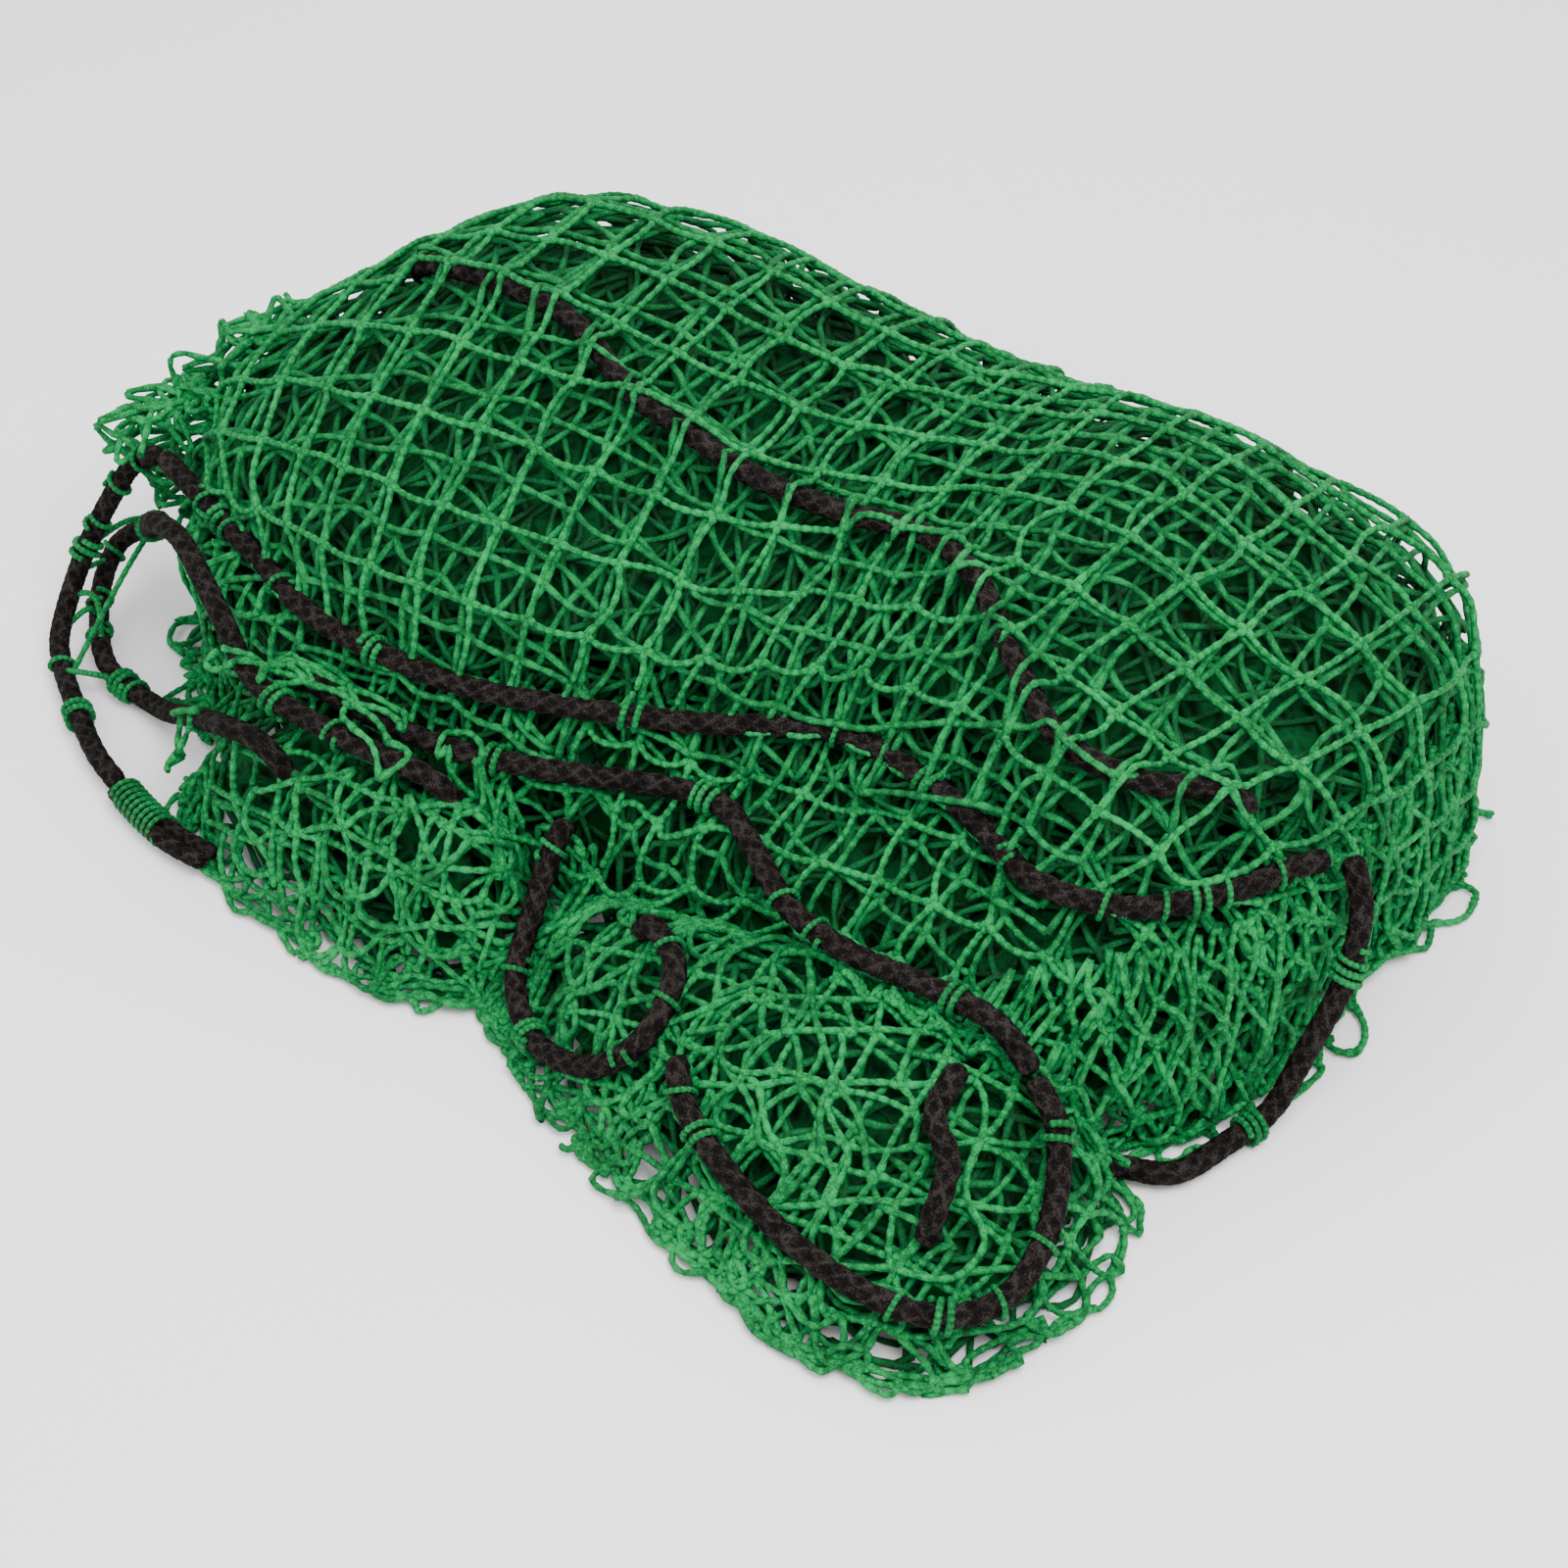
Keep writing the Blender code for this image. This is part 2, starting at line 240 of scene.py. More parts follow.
def colour_by(tree, value, first, middle, last):
    """The colour at value, between three stops of (position, colour)."""
    ramp = tree.nodes.new("ShaderNodeValToRGB")
    for element, (position, colour) in ((0, first), (1, last)):
        ramp.color_ramp.elements[element].position = position
        ramp.color_ramp.elements[element].color = (*colour, 1)
    ramp.color_ramp.elements.new(middle[0]).color = (*middle[1], 1)
    tree.links.new(value, ramp.inputs["Fac"])
    return ramp.outputs["Color"]


def raise_surface(tree, height, strength, distance, invert=False):
    """Bump on the tree's shader."""
    made = tree.nodes.new("ShaderNodeBump")
    made.invert = invert
    made.inputs["Strength"].default_value = strength
    made.inputs["Distance"].default_value = distance
    tree.links.new(height, made.inputs["Height"])
    tree.links.new(made.outputs["Normal"], tree.nodes["Principled BSDF"].inputs["Normal"])


def fibre_material(name, dark, middle, light, tone_size, fibre_size, bump, gloss):
    """Yarn: patches of tone, painted shade between its stitches and a painted highlight on them,
    with fine fibres in colour and bump.
    """
    made = plain_material(name, middle, 0.8)
    tree = made.node_tree
    shader = tree.nodes["Principled BSDF"]
    shader.inputs["Specular IOR Level"].default_value = gloss
    place = tree.nodes.new("ShaderNodeTexCoord").outputs["Object"]
    relief = tree.nodes.new("ShaderNodeAttribute")
    relief.attribute_name = "relief"
    tone = noise(tree, place, tone_size, detail=3)
    fibre = noise(tree, place, fibre_size, detail=5, roughness=0.65)
    mixed = scaled_sum(tree, tone, 0.55, fibre)
    # The relief lightens the stitches and strands: a painted highlight on them, painted shade
    # between them.
    tone_and_painted_relief_light = scaled_sum(tree, relief.outputs["Fac"], 0.16, mixed)
    colour = colour_by(tree, tone_and_painted_relief_light, (0.60, dark), (0.84, middle), (1.0, light))
    tree.links.new(colour, shader.inputs["Base Color"])
    raise_surface(tree, fibre, strength=bump, distance=0.0006)
    return made


def green_twine(name, share):
    """The green yarn, with its tones dimmed to a share; on the deeper plies the dimming is painted
    shade.
    """
    tones = (tuple(share * c for c in tone) for tone in GREENS)
    return fibre_material(name, *tones, tone_size=0.02, fibre_size=0.0012, bump=0.6, gloss=0.2)


def deep_net_shade_material(name):
    """The plies too deep to draw: green strands dimmed by painted shade, between gaps of painted
    shade.
    """
    made = plain_material(name, (0.001, 0.010, 0.003), 0.9)
    tree = made.node_tree
    shader = tree.nodes["Principled BSDF"]
    shader.inputs["Specular IOR Level"].default_value = 0.1
    place = tree.nodes.new("ShaderNodeTexCoord")
    nearer = tree.nodes.new("ShaderNodeMath")
    nearer.operation = "MINIMUM"
    for k, scale in enumerate((62, 95)):
        cells = tree.nodes.new("ShaderNodeTexVoronoi")
        cells.feature = "DISTANCE_TO_EDGE"
        cells.inputs["Scale"].default_value = scale
        tree.links.new(place.outputs["Object"], cells.inputs["Vector"])
        tree.links.new(cells.outputs["Distance"], nearer.inputs[k])
    # Painted shade: dim green on the strands, darker in the gaps between them.
    colour = colour_by(tree, nearer.outputs[0], (0.03, (0.002, 0.060, 0.014)),
                       (0.12, (0.001, 0.030, 0.007)), (0.24, (0.0005, 0.006, 0.0015)))
    tree.links.new(colour, shader.inputs["Base Color"])
    raise_surface(tree, nearer.outputs[0], strength=1.0, distance=0.004, invert=True)
    return made


# ---- shape that the net falls on

class Field:
    """Signed distance to the folds from above and outside, on a grid."""

    STEP = 0.007
    MARGIN = 0.07
    COVERED = 0.004     # lowest top that counts as part of the plan
    EDGE = 1.001        # keeps a place inside the grid's last cell

    def __init__(self, nodes, solid=True):
        trees = [tree_of(frame["nodes"][name]) for name in nodes]
        low, high = CAD_BOX
        self.low = np.array([low[0], low[1], 0.0]) - self.MARGIN
        shape = np.ceil((np.array(high) + self.MARGIN - self.low) / self.STEP).astype(int) + 1
        self.shape = shape
        xs, ys, zs = (self.low[i] + self.STEP * np.arange(shape[i]) for i in range(3))
        tops = np.zeros(shape[:2])
        down = Vector((0, 0, -1))
        for i, x in enumerate(xs):
            for j, y in enumerate(ys):
                for tree in trees:
                    hit = tree.ray_cast(Vector((x, y, 1)), down)[0]
                    if hit is not None:
                        tops[i, j] = max(tops[i, j], hit.z)
        self.plan = self.plan_distance(xs, ys, tops > self.COVERED)
        if not solid:
            return
        corners = [Vector((x, y, tops[i, j])) for i, x in enumerate(xs) for j, y in enumerate(ys)]
        rows = shape[1]
        quads = [(i * rows + j, (i + 1) * rows + j, (i + 1) * rows + j + 1, i * rows + j + 1)
                 for i in range(shape[0] - 1) for j in range(rows - 1)]
        surface = BVHTree.FromPolygons(corners, quads)
        grid = np.empty(shape)
        for i, x in enumerate(xs):
            for j, y in enumerate(ys):
                for k, z in enumerate(zs):
                    near = surface.find_nearest(Vector((x, y, z)))[3]
                    grid[i, j, k] = near if z > tops[i, j] else -near
        for axis in range(3):
            grid[...] = (np.roll(grid, 1, axis) + 2 * grid + np.roll(grid, -1, axis)) / 4
        self.grid = grid
        self.slope = np.stack(np.gradient(grid, self.STEP), axis=-1)

    @staticmethod
    def plan_distance(xs, ys, covered):
        """Level distance to the edge of the plan, negative inside it."""
        places = np.stack(np.meshgrid(xs, ys, indexing="ij"), axis=-1)
        inside, outside = places[covered], places[~covered]
        plan = np.empty(covered.shape)
        plan[~covered] = nearest_gap(outside, inside)
        plan[covered] = -nearest_gap(inside, outside)
        return plan

    def beyond(self, points):
        """How far each point is outside the plan."""
        place = (points[..., :2] - self.low[:2]) / self.STEP
        place = np.clip(place, 0, np.array(self.shape[:2]) - self.EDGE)
        base = place.astype(int)
        part = place - base
        i, j = base[..., 0], base[..., 1]
        a, b = part[..., 0], part[..., 1]
        return ((1 - a) * ((1 - b) * self.plan[i, j] + b * self.plan[i, j + 1])
                + a * ((1 - b) * self.plan[i + 1, j] + b * self.plan[i + 1, j + 1]))

    def at(self, points):
        """Distance and outward direction at each point."""
        place = (points - self.low) / self.STEP
        place = np.clip(place, 0, self.shape - self.EDGE)
        base = place.astype(int)
        part = place - base
        distance = 0.0
        slope = 0.0
        for corner in np.ndindex(2, 2, 2):
            weight = np.prod(np.where(corner, part, 1 - part), axis=-1)
            index = tuple(np.moveaxis(base + corner, -1, 0))
            distance = distance + weight * self.grid[index]
            slope = slope + weight[..., None] * self.slope[index]
        size = np.linalg.norm(slope, axis=-1, keepdims=True)
        return distance, slope / np.maximum(size, 1e-6)


def nearest_gap(places, others):
    """Distance from each place to the nearest of the others."""
    gaps = []
    for start in range(0, len(places), 500):
        apart = places[start:start + 500, None] - others[None]
        gaps.append(np.sqrt((apart ** 2).sum(-1).min(1)))
    return np.concatenate(gaps)


def tree_of(obj):
    mesh = obj.data
    return BVHTree.FromPolygons([v.co for v in mesh.vertices],
                                [tuple(p.vertices) for p in mesh.polygons])


# ---- the drape

STEPS, QUICK_STEPS = 170, 60
GRAVITY = 0.0005        # added to a point's fall at each step
KEPT_SPEED = 0.9        # share of a point's speed kept at each step
GRIP = 0.75             # share of it lost where the point touches
LENGTH_ROUNDS = 8       # corrections of lengths at each step
LIMP = 0.35             # a slack twine's correction, next to a taut one's
MOST_PUSH = 0.004       # furthest a step moves a point out of the folds
PINNED_BY = 0.35        # share of the steps that brings pinned knots to their places
ROPE_FROM = 0.4         # share of the steps before the net lifts over a rope
ROPE_CLEAR = 0.0020     # gap from the rope to a twine's middle
ROPE_DEPTH = 0.03       # deepest point under a rope that is lifted over it
SWAY_LENGTH = 0.11      # usual length of the waves that shift the knots
TUCK_FROM, TUCK_FADE, MOST_TUCK = 0.085, 0.05, 0.035    # a wall is drawn in below this height
LOOSE_FRONT, LOOSE = -0.085, 0.012  # in front of this y, the net lies looser


def spread_lines(knots):
    """Points on straight sides between the knots, along the rows."""
    rows, columns = knots.shape[:2]
    place = np.arange((columns - 1) * SUB + 1) / SUB
    base = np.minimum(place.astype(int), columns - 2)
    part = (place - base)[None, :, None]
    return knots[:, base] * (1 - part) + knots[:, base + 1] * part


def both_ways(knots):
    """Lines along the rows of knots, and lines along the columns."""
    return spread_lines(knots), spread_lines(knots.transpose(1, 0, 2).copy())


def keep_lengths(lines, rest):
    """Moves each pair of neighbours towards its rest length, first the even pairs, then the odd."""
    for parity in (0, 1):
        start = lines[:, parity:-1:2]
        end = lines[:, parity + 1::2]
        start = start[:, :end.shape[1]]
        gap = end - start
        size = np.maximum(np.linalg.norm(gap, axis=-1, keepdims=True), 1e-7)
        share = 1 - rest / size
        share = np.where(share > 0, share, LIMP * share)
        move = 0.5 * share * gap
        start += move
        end -= move


def smooth_bends(lines, share, set_in=0.0):
    """Straightens each line a little, towards the bends that its twine has set in."""
    middle = (lines[:, :-2] + lines[:, 2:]) / 2
    lines[:, 1:-1] += share * (middle + set_in - lines[:, 1:-1])


def set_bends(shape, rise, random):
    """Offsets that bow each side of a cell by about rise, each its own way."""
    count, points = shape[:2]
    sides = (points - 1) // SUB
    ways = random.normal(0, 1, (count, sides, 3)) * [1, 1, 0.5]
    bows = np.repeat(ways * rise / 4, SUB, axis=1)
    bows[:, ::SUB] = 0
    return bows[:, 1:]


def weld(rows, columns, pins=None, targets=None):
    """The knots are shared by the rows and the columns."""
    knots = (rows[:, ::SUB] + columns[:, ::SUB].transpose(1, 0, 2)) / 2
    if pins is not None:
        knots[pins] = targets[pins]
    rows[:, ::SUB] = knots
    columns[:, ::SUB] = knots.transpose(1, 0, 2)


def wander(knots, size, random):
    """Smooth level shifts of the knots, so that no two meshes are alike."""
    moved = knots.copy()
    for _ in range(8):
        angle = random.uniform(0, 2 * math.pi)
        wave = 2 * math.pi / (SWAY_LENGTH * random.uniform(0.6, 1.8))
        phase = random.uniform(0, 2 * math.pi)
        along = knots[..., 0] * math.cos(angle) + knots[..., 1] * math.sin(angle)
        way = random.uniform(0, 2 * math.pi)
        shift = size * np.sin(along * wave + phase)
        moved[..., 0] += shift * math.cos(way)
        moved[..., 1] += shift * math.sin(way)
    return moved


def clear_of_rope(lines, rope, reach):
    """Lifts points that are on the rope's line in plan up over its round top."""
    flat = lines.reshape(-1, 3)
    apart = ((flat[:, None, :2] - rope[None, :, :2]) ** 2).sum(-1)
    nearest = apart.argmin(1)
    gap = apart[np.arange(len(flat)), nearest]
    over = rope[nearest, 2] + np.sqrt(np.maximum(reach ** 2 - gap, 0))
    under = (gap < reach ** 2) & (flat[:, 2] < over)
    under &= flat[:, 2] > rope[nearest, 2] - ROPE_DEPTH
    flat[under, 2] = over[under]
    lines[...] = flat.reshape(lines.shape)


def drape(knots, field, offset, steps, seed, pins=None, targets=None, bend=0.12, rough=0.004,
          over=None, sway=0.002, bow=0.010):
    """Lets a net fall onto the field. Returns its rows and its columns of points."""
    random = np.random.default_rng(seed)
    knots = wander(knots, sway, random)
    rows, columns = both_ways(knots)
    rest = CELL / SUB
    for lines in (rows, columns):
        lines += random.normal(0, rough, lines.shape)
    held = [rows.copy(), columns.copy()]
    bows = [set_bends(lines.shape, bow, random) for lines in (rows, columns)]
    start = knots.copy()
    for step in range(steps):
        for lines, before in zip((rows, columns), held):
            speed = (lines - before) * KEPT_SPEED
            before[...] = lines
            lines += speed
            lines[..., 2] -= GRAVITY
        ease = min(1.0, (step + 1) / (PINNED_BY * steps))
        place = start + (targets - start) * ease if targets is not None else None
        for _ in range(LENGTH_ROUNDS):
            keep_lengths(rows, rest)
            keep_lengths(columns, rest)
            weld(rows, columns, pins, place)
        for lines, before, set_in in zip((rows, columns), held, bows):
            smooth_bends(lines, bend, set_in)
            distance, outward = field.at(lines)
            deep = np.clip(offset - distance, 0, MOST_PUSH)
            lines += outward * deep[..., None]
            if over is not None and step > ROPE_FROM * steps:
                clear_of_rope(lines, over, ROPE_DIAMETER / 2 + ROPE_CLEAR)
            low = np.maximum(TWINE_RADIUS - lines[..., 2], 0)
            lines[..., 2] += low
            touching = (deep > 0) | (low > 0)
            before[touching] += GRIP * (lines[touching] - before[touching])
        weld(rows, columns, pins, place)
    for lines in (rows, columns):
        tuck(lines, offset)
        bow_sides(lines, bow / 4, random)
        lines[..., 2] = np.maximum(lines[..., 2], TWINE_RADIUS)
    return rows, columns


def bow_sides(lines, rise, random):
    """Bows each side of a cell out by about rise, along the ground more than up."""
    sides = (lines.shape[1] - 1) // SUB
    ways = random.normal(0, 0.7, (lines.shape[0], sides, 1, 3)) * [1, 1, 0.3] * rise
    profile = np.sin(np.arange(SUB) / SUB * math.pi)[:, None]
    lines[:, :-1] += (ways * profile).reshape(lines.shape[0], -1, 3)


def tuck(lines, offset):
    """Draws the lower part of a wall in to the lower layers, which the upper ones overhang."""
    reach = FOOT.beyond(lines)
    slope = np.stack([FOOT.beyond(lines + [a, b, 0]) - FOOT.beyond(lines - [a, b, 0])
                      for a, b in ((FOOT.STEP, 0), (0, FOOT.STEP))], axis=-1)
    slope /= np.maximum(np.linalg.norm(slope, axis=-1, keepdims=True), 1e-6)
    share = np.clip((TUCK_FROM - lines[..., 2]) / TUCK_FADE, 0, 1)
    loose = np.where(lines[..., 1] < LOOSE_FRONT, LOOSE, 0.0)
    excess = np.clip(reach - offset - loose, 0, MOST_TUCK) * share
    lines[..., :2] -= slope * excess[..., None]


# ---- twine tubes

KNOT_SWELL = 0.40       # how much thicker a twine is at a knot, as a share
KNOT_REACH = 0.0024     # how far from the knot that swelling goes
GROOVE, STITCH = 0.88, 0.24     # radius between stitches, and the rise onto one, as shares


def finer(lines, times):
    """Points on a smooth curve through each line's points, times as many."""
    if times == 1:
        return lines
    padded = np.concatenate([2 * lines[:, :1] - lines[:, 1:2], lines,
                             2 * lines[:, -1:] - lines[:, -2:-1]], axis=1)
    before, start, end, after = (padded[:, k:k + lines.shape[1] - 1] for k in range(4))
    pieces = []
    for k in range(times):
        t = k / times
        pieces.append(0.5 * (2 * start + (end - before) * t
                             + (2 * before - 5 * start + 4 * end - after) * t ** 2
                             + (3 * start - before - 3 * end + after) * t ** 3))
    inner = np.stack(pieces, axis=2).reshape(lines.shape[0], -1, 3)
    return np.concatenate([inner, lines[:, -1:]], axis=1)


def tube_rings(lines, radius, sides):
    """Rings of points round each line. radius is one number for each point."""
    along = np.gradient(lines, axis=1)
    along /= np.maximum(np.linalg.norm(along, axis=-1, keepdims=True), 1e-9)
    guide = np.where(np.abs(along[..., 2:]) < 0.85, [0.0, 0.0, 1.0], [1.0, 0.0, 0.0])
    across = np.cross(along, guide)
    across /= np.linalg.norm(across, axis=-1, keepdims=True)
    upward = np.cross(across, along)
    angles = 2 * math.pi * np.arange(sides) / sides
    ring = (across[:, :, None] * np.cos(angles)[:, None]
            + upward[:, :, None] * np.sin(angles)[:, None])
    return lines[:, :, None] + ring * radius[..., None, None]


def tubes_mesh(name, groups):
    """One mesh of closed tubes. groups holds rings, the lengths that show, and the relief of each
    ring's points, from 0 in a groove to 1 on a strand."""
    points, quads, caps, reliefs = [], [], [], []
    first = 0
    for rings, kept, relief in groups:
        reliefs.append(np.broadcast_to(relief, rings.shape[:3]).ravel())
        count, length, sides = rings.shape[:3]
        index = first + np.arange(count * length * sides).reshape(count, length, sides)
        first += index.size
        points.append(rings.reshape(-1, 3))
        low, high = index[:, :-1][kept], index[:, 1:][kept]
        ring_quads = np.stack([low, np.roll(low, -1, 1), np.roll(high, -1, 1), high], 2)
        quads.append(ring_quads.reshape(-1, 4))
        none = np.zeros((count, 1), bool)
        before = np.concatenate([none, kept], 1)
        after = np.concatenate([kept, none], 1)
        caps.append((index[after & ~before][:, ::-1], index[before & ~after]))
    points = np.concatenate(points)
    quads = np.concatenate(quads)
    faces = [quads] + [np.concatenate([c[k] for c in caps if c[k].size]) for k in (0, 1)
                       if any(c[k].size for c in caps)]
    used = np.zeros(len(points), bool)
    for group in faces:
        used[group] = True
    renumber = np.cumsum(used) - 1
    corners = np.concatenate([renumber[group].ravel() for group in faces])
    sizes = np.concatenate([np.full(len(group), group.shape[1]) for group in faces])
    mesh = bpy.data.meshes.new(name)
    mesh.vertices.add(int(used.sum()))
    mesh.vertices.foreach_set("co", points[used].astype(np.float32).ravel())
    mesh.loops.add(len(corners))
    mesh.loops.foreach_set("vertex_index", corners.astype(np.int32))
    mesh.polygons.add(len(sizes))
    mesh.polygons.foreach_set("loop_start", (np.cumsum(sizes) - sizes).astype(np.int32))
    mesh.update(calc_edges=True)
    # The material reads relief as a painted highlight on strands and painted shade in grooves.
    relief = mesh.attributes.new("relief", "FLOAT", "POINT")
    relief.data.foreach_set("value", np.concatenate(reliefs)[used].astype(np.float32))
    mesh.validate()
    mesh.shade_smooth()
    return add_object(name, mesh)


def twine_shape(points, per_cell, seed):
    """Knitted twine's radius and relief: it swells at each stitch, and more at the knots."""
    count = points.shape[1]
    place = np.arange(count)
    stitch = np.where(place % 2, 1.0, 0.0)
    from_knot = np.minimum(place % per_cell, per_cell - place % per_cell) * CELL / per_cell
    knot = 1 + KNOT_SWELL * np.exp(-(from_knot / KNOT_REACH) ** 2)
    lines = np.random.default_rng(seed).normal(1, 0.05, (points.shape[0], 1))
    return TWINE_RADIUS * (GROOVE + STITCH * stitch) * knot * lines, stitch[None, :, None]


def cell_middles(rows):
    knots = rows[:, ::SUB]
    return (knots[1:, 1:] + knots[:-1, 1:] + knots[1:, :-1] + knots[:-1, :-1]) / 4


def side_labels(labels):
    """The piece that each side of a mesh cell goes to, along the rows and along the columns."""
    above, below = np.pad(labels, ((1, 0), (0, 0))), np.pad(labels, ((0, 1), (0, 0)))
    before, after = np.pad(labels, ((0, 0), (1, 0))), np.pad(labels, ((0, 0), (0, 1)))
    return np.maximum(above, below), np.maximum(before, after).T


def add_plies(rows, columns, pieces, detail, sides, material, seed):
    """One ply of net as twine tubes, in pieces of (name, body, held, wanted). held is not used.
    wanted says which mesh cells belong to the piece, and a cell goes to the first piece that wants
    it. detail is the number of rings to each simulated length."""
    middles = cell_middles(rows)
    labels = np.zeros(middles.shape[:2], int)
    for number, (_, _, _, wanted) in enumerate(pieces, 1):
        labels[(labels == 0) & wanted(middles)] = number
    per_cell = SUB * detail
    drawn = []
    for turn, (lines, owner) in enumerate(zip((rows, columns), side_labels(labels))):
        points = finer(lines, detail)
        radius, relief = twine_shape(points, per_cell, seed + turn)
        drawn.append((tube_rings(points, radius, sides), owner, relief))
    made = {}
    for number, (name, body, held, _) in enumerate(pieces, 1):
        count = sum(int((owner == number).sum()) for _, owner, _ in drawn)
        if count < FEWEST_SIDES:
            continue
        groups = [(rings, np.repeat(owner == number, per_cell, axis=1), relief)
                  for rings, owner, relief in drawn]
        piece = tubes_mesh(name, groups)
        piece.data.materials.append(material)
        if body:
            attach(piece, body)
        made[name] = piece
    return made


# ---- rope

def smooth_route(route, spacing):
    """Points about spacing apart on a smooth curve through the route's points."""
    line = finer(np.array(route, float)[None], 40)[0]
    walked = np.concatenate([[0], np.cumsum(np.linalg.norm(np.diff(line, axis=0), axis=1))])
    count = max(4, round(walked[-1] / spacing))
    even = np.linspace(0, walked[-1], count + 1)
    return np.stack([np.interp(even, walked, line[:, k]) for k in range(3)], axis=1)


def route_length(line):
    return float(np.linalg.norm(np.diff(line, axis=0), axis=1).sum())


def steady_frames(line):
    """Along, across and upward directions that turn with the line and don't twist."""
    along = np.gradient(line, axis=0)
    along /= np.linalg.norm(along, axis=1, keepdims=True)
    across = np.empty_like(along)
    side = np.cross(along[0], [0, 0, 1])
    if np.linalg.norm(side) < 0.1:
        side = np.cross(along[0], [1, 0, 0])
    for i, direction in enumerate(along):
        side = side - direction * (side @ direction)
        side /= np.linalg.norm(side)
        across[i] = side
    return along, across, np.cross(across, along)


BRAID_STRANDS = 4       # strands each way
BRAID_PITCH = 3.6       # rope diameters in which a strand goes round once
BRAID_GROOVE, BRAID_RISE = 0.88, 0.13   # radius between strands, and the rise onto one, as shares
TIP, TIP_LENGTH = 0.55, 0.5     # an end's radius as a share, and its taper in diameters


def braid(line, diameter):
    """Rings and relief of a braid round the line: two families of strands that cross."""
    _, across, upward = steady_frames(line)
    walked = np.arange(len(line)) * route_length(line) / (len(line) - 1)
    angles = 2 * math.pi * np.arange(ROPE_SIDES) / ROPE_SIDES
    turn = 2 * math.pi * walked[:, None] / (BRAID_PITCH * diameter)
    right = np.cos(BRAID_STRANDS * (angles + turn))
    left = np.cos(BRAID_STRANDS * (angles - turn))
    relief = np.clip(np.maximum(right, left), 0, 1)
    radius = diameter / 2 * (BRAID_GROOVE + BRAID_RISE * relief)
    from_end = np.minimum(walked, walked[::-1])[:, None]
    radius *= np.clip(TIP + from_end / (TIP_LENGTH * diameter), 0, 1)
    rings = (line[:, None] + across[:, None] * (radius * np.cos(angles))[..., None]
             + upward[:, None] * (radius * np.sin(angles))[..., None])
    return rings[None], np.ones((1, len(line) - 1), bool), relief[None]


def add_ropes(material):
    """Every stretch of border rope, in the place of its CAD tube and on along its tails."""
    top = frame["record"]["behaviour"]["bodies"]["top_fold"]
    lines = {}
    for name, route in ROPES.items():
        body = "top_fold" if name in top else "pile"
        first, last = TAILS.get(name, (None, None))
        route = (first,) * (first is not None) + route + (last,) * (last is not None)
        line = smooth_route(route, ROPE_STEP)
        made = tubes_mesh(name.replace("border_rope", "braided_rope"), [braid(line, ROPE_DIAMETER)])
        made.data.materials.append(material)
        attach(made, body)
        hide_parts(name)
        lines[name] = (body, line)
    return lines


# ---- lacing and splice

TURN_RADIUS = ROPE_DIAMETER / 2 + 0.0009        # of a single turn's middle
LASHING_RADIUS = ROPE_DIAMETER / 2 + 0.0012     # of a lashing's middle
LACED_SHARE = 0.3       # share of the meshes that have a turn of lacing which shows
LACED_FROM, LACED_TO = 0.014, 0.018     # bare lengths at a stretch's start and end
TURN_LENGTH, LASHING_LENGTH = 0.007, 0.010
PHASE = 40              # radians for each metre, so that no two turns start alike


def helix_round(line, start, length, turns, radius, steps=16):
    """A twine's centre line, wound round the rope's line from a distance along it."""
    _, across, upward = steady_frames(line)
    walked = np.arange(len(line)) * route_length(line) / (len(line) - 1)
    place = start + length * np.linspace(0, 1, int(steps * turns) + 1)
    angle = 2 * math.pi * turns * np.linspace(0, 1, len(place)) + PHASE * start
    middle, side, up = (np.stack([np.interp(place, walked, source[:, k]) for k in range(3)], 1)
                        for source in (line, across, upward))
    return middle + radius * (np.cos(angle)[:, None] * side + np.sin(angle)[:, None] * up)


def lashings_on(rope, line):
    """The rope's lacing nodes, each with its distance along the line."""
    start = rope.replace("border_rope_", "lacing_") + "_"
    found = {}
    for name in frame["nodes"]:
        if name.startswith(start) and name.removeprefix(start).isdigit():
            place = sum(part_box(name), Vector()) / 2
            near = np.linalg.norm(line - np.array(place), axis=1).argmin()
            found[name] = near / (len(line) - 1) * route_length(line)
    return found


def add_lacing(rope_lines, material):
    """The lacing twine: single turns round the rope, and the CAD's longer lashings."""
    random = np.random.default_rng(5)
    for body in ("pile", "top_fold"):
        groups, stands_for = [], []
        for rope, (rides, line) in rope_lines.items():
            if rides != body or rope == "border_rope_under_top_ply":
                continue
            lashed = lashings_on(rope, line)
            stands_for += lashed
            for start in np.arange(LACED_FROM, route_length(line) - LACED_TO, CELL):
                if random.uniform() < 1 - LACED_SHARE:
                    continue
                start += random.uniform(-0.004, 0.004)
                twine = helix_round(line, start, TURN_LENGTH, 1.1, TURN_RADIUS)
                groups.append(twine_group(twine, LACING_RADIUS))
            for middle in lashed.values():
                twine = helix_round(line, middle - LASHING_LENGTH / 2, LASHING_LENGTH,
                                    random.uniform(1.6, 2.6), LASHING_RADIUS)
                groups.append(twine_group(twine, TWINE_RADIUS))
        if body == "pile":
            groups += loop_twines(rope_lines["border_rope_left_loop"][1],
                                  rope_lines["border_rope_left_edge"][1])
        made = tubes_mesh(f"lacing_twine_{body}", groups)
        made.data.materials.append(material)
        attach(made, body)
        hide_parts(*stands_for)


